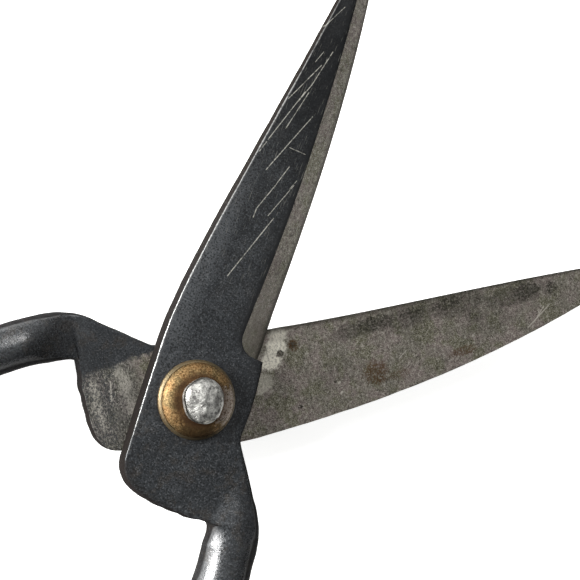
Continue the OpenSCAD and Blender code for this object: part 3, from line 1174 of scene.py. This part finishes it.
def head_height(x, y):
    """Height of a hammered head: a low dome cut by the flats of the hammer's blows."""
    r = math.hypot(x, y) / HEAD_R
    dome = HEAD_H - 0.3 * r * r
    flats = min(level - slope_x * x - slope_y * y for slope_x, slope_y, level in BLOWS)
    rolled = 0.85 * max(0.0, (r - 0.66) / 0.34) ** 2
    dents = 0.06 * noise.noise(Vector((x * 0.9, y * 0.9, 2)))
    dents += 0.05 * noise.noise(Vector((x * 2.2, y * 2.2, 7)))
    return min(min(dome, flats) - rolled + dents, HEAD_H)


def head_point(r, angle):
    """A point of the head's uneven oval in plan."""
    uneven = 1 + 0.02 * math.cos(5 * angle + 1.0) + 0.015 * math.cos(3 * angle + 2.2)
    k = r * uneven * (1 - 0.11 * math.cos(angle - NARROW) ** 2)
    return k * math.cos(angle), k * math.sin(angle)


def head_rings():
    """Rings of a head above its seat, from the crown down to the seat."""
    rings = []
    for k in range(1, 17):
        row = [head_point(HEAD_R * math.sin(math.pi / 2 * k / 16), a) for a in RIVET_TURNS]
        rings.append([Vector((x, y, head_height(x, y))) + HEAD_LEAN for x, y in row])
    for r, z in [(HEAD_R, 0.8), (HEAD_R - 0.1, 0.45), (HEAD_R - 0.35, 0.06), (HEAD_R - 0.6, 0.0)]:
        row = [head_point(r, a) for a in RIVET_TURNS]
        rings.append([Vector((x, y, z)) + HEAD_LEAN * min(z, 1) for x, y in row])
    return rings


def capped_stack(name, rings):
    """A closed skin through rings of equally many points, with a fan at each end."""
    m = len(rings[0])
    points = [tuple(v) for ring in rings for v in ring]
    points += [tuple(sum(ring, Vector()) / m) for ring in (rings[0], rings[-1])]
    faces = []
    for k in range(len(rings) - 1):
        for i in range(m):
            j = (i + 1) % m
            faces.append((k * m + i, k * m + j, (k + 1) * m + j, (k + 1) * m + i))
    last = (len(rings) - 1) * m
    for i in range(m):
        j = (i + 1) % m
        faces += [(len(points) - 2, i, j), (len(points) - 1, last + j, last + i)]
    return mesh_object(name, points, faces)


def rivet():
    """Rivet with a shank and a hammered head at each end, the lower one turned over."""
    head = head_rings()
    seat = TOP_Z - HEAD_H
    upper = [[v + Vector((0, 0, seat)) for v in ring] for ring in head]
    order = [-i % RIVET_AROUND for i in range(RIVET_AROUND)]
    lower = [[Vector((ring[i].x, -ring[i].y, HEAD_H - ring[i].z)) for i in order] for ring in head]
    circle = [(RIVET_SHANK_R * math.cos(a), RIVET_SHANK_R * math.sin(a)) for a in RIVET_TURNS]
    shank = [[Vector((x, y, z)) for x, y in circle] for z in (seat, HEAD_H)]
    o = capped_stack("rivet_hammered", upper + shank + lower[::-1])
    cleaned(o)
    settle(o, Matrix.Identity(4), rivet_material(), "lower_blade", "pivot_rivet", 20)


# ---- floor, light and camera

FLOOR_HALF = 900.0
FLOOR_DROP = 0.05
FLOOR_LOOK = {
    "Base Color": (0.86, 0.86, 0.85, 1),
    "Roughness": 0.9,
    "Specular IOR Level": 0.1,
    "Emission Color": (1, 1, 0.99, 1),
    "Emission Strength": 0.8,
}


def floor():
    corners = [(x * FLOOR_HALF, y * FLOOR_HALF, 0) for x, y in ((-1, -1), (1, -1), (1, 1), (-1, 1))]
    o = mesh_object("floor", corners, [(0, 1, 2, 3)])
    o.data.transform(Matrix.Scale(MM, 4) @ Matrix.Translation((0, 0, -FLOOR_DROP)))
    m = bpy.data.materials.new("pale_table")
    shader = principled(m)
    for key, value in FLOOR_LOOK.items():
        shader.inputs[key].default_value = value
    o.data.materials.append(m)


def area_light(name, place, target, size, power):
    light = bpy.data.lights.new(name, "AREA")
    light.size = size
    light.energy = power
    o = new_object(name, light)
    o.location = place
    o.rotation_euler = (Vector(target) - place).to_track_quat("-Z", "Y").to_euler()


# The picture's right and up in plan: the open shears' middle line leans 41.2 degrees from its right
BISECTOR = math.radians(41.2)
PICTURE_RIGHT = Vector((math.sin(BISECTOR), math.cos(BISECTOR), 0))
PICTURE_UP = Vector((-math.cos(BISECTOR), math.sin(BISECTOR), 0))


def picture_place(right, up, height):
    return PICTURE_RIGHT * right + PICTURE_UP * up + Vector((0, 0, height))


# Soft surroundings: brightest above the picture and to its left, and how bright they are
SKY_TOWARDS = picture_place(-0.35, 0.45, 0.8).normalized()
SKY_DIM = 0.05
SKY_BRIGHT = 0.36
SKY_COLOR = rgb(0.99, 0.995, 1.0)
# Two square lights, as (name, place in metres, where they shine, side, power)
LIGHTS = [
    ("window", picture_place(-0.67, 0.16, 0.23), (0, 0.02, 0), 0.42, 18.5),
    ("far_window", picture_place(0.18, 0.95, 1.22), (0, 0, 0), 0.29, 7.5),
]
# The camera leans to the picture's left, off the vertical, and looks at the plane between the halves
CAMERA_TILT = math.radians(20)
CAMERA_DISTANCE = 350.0
CAMERA_TARGET = (-2.0, 28.4)
CAMERA_LENS = 114.3
CAMERA_SENSOR = 36


def sky():
    world = bpy.data.worlds.new("studio")
    bpy.context.scene.world = world
    world.use_nodes = True
    s = Nodes(world.node_tree)
    around = s.node("TexCoord", {}).outputs["Generated"]
    facing = s.node("VectorMath", {0: around, 1: SKY_TOWARDS}, operation="DOT_PRODUCT").outputs["Value"]
    background = s.tree.nodes["Background"]
    s.put(background.inputs["Strength"], s.ramp(facing, -0.3, 1.0, SKY_DIM, SKY_BRIGHT))
    s.put(background.inputs["Color"], SKY_COLOR)


def camera():
    sight = PICTURE_RIGHT * math.sin(CAMERA_TILT) - Vector((0, 0, math.cos(CAMERA_TILT)))
    right = PICTURE_RIGHT * math.cos(CAMERA_TILT) + Vector((0, 0, math.sin(CAMERA_TILT)))
    target = Vector((*CAMERA_TARGET, (FRONT_INNER_Z + BACK_INNER_Z) / 2))
    place = target - sight * CAMERA_DISTANCE
    cam = bpy.data.cameras.new("camera")
    cam.lens = CAMERA_LENS
    cam.sensor_width = CAMERA_SENSOR
    o = new_object("camera", cam)
    axes = Matrix((right, PICTURE_UP, -sight)).transposed().to_4x4()
    o.matrix_world = Matrix.Translation(place * MM) @ axes
    bpy.context.scene.camera = o


# ---- build

camera()
sky()
for light in LIGHTS:
    area_light(*light)
floor()
for half, place in ((FRONT, as_front()), (BACK, as_back())):
    outline = Outline(half)
    forged_half(half, outline, place)
    edge_piece(half, outline, place)
rivet()
FRONT_SEAT = Matrix.Translation((0, 0, FRONT_OUTER_Z))
BACK_SEAT = Matrix.Translation((0, 0, BACK_INNER_Z - HALF_T)) @ Matrix.Rotation(math.pi, 4, "X")
washer("front", FRONT_SEAT, 5.0)
washer("back", BACK_SEAT, 9.0)

bpy.context.scene.view_settings.view_transform = "Standard"
